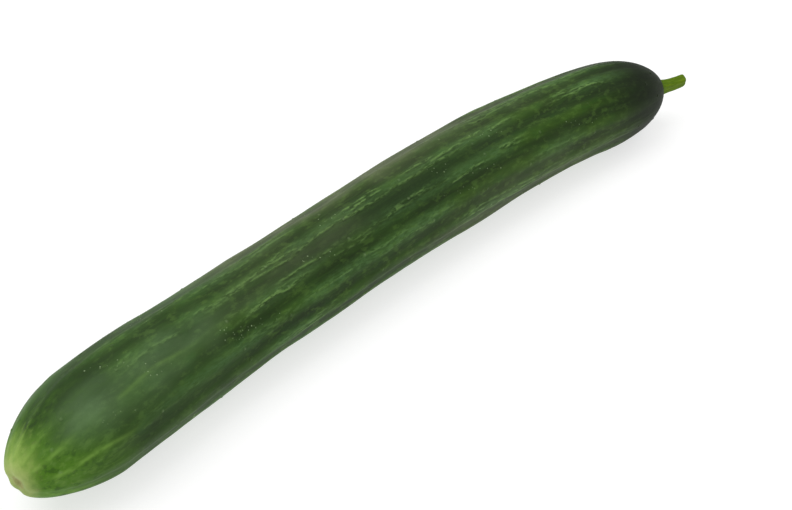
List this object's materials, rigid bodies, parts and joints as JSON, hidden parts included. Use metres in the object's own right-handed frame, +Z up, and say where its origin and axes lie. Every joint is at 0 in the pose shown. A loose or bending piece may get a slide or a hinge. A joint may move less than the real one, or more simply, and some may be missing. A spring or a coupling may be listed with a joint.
{
  "type": "cucumber",
  "caption": "Long whole green cucumber, gently bowed, with a low-ridged skin dotted with small bumps, a puckered blossom scar at one end and a short stub of stem at the other.",
  "frame": {"origin": "on the surface that the cucumber lies on, under the middle of its bounding box", "axes": "+X from the blossom end to the stem end, +Y to the side that the fruit bows towards, +Z up"},
  "size_m": [0.3476, 0.0512, 0.0419],
  "materials": {
    "skin": "waxy satin, dark green with paler green streaks, fading to yellow-green at the blossom end",
    "stem": "dull fresh green, fibrous along its length"
  },
  "bodies": {
    "root": {"fruit": "skin", "stem": "stem"}
  },
  "joints": []
}
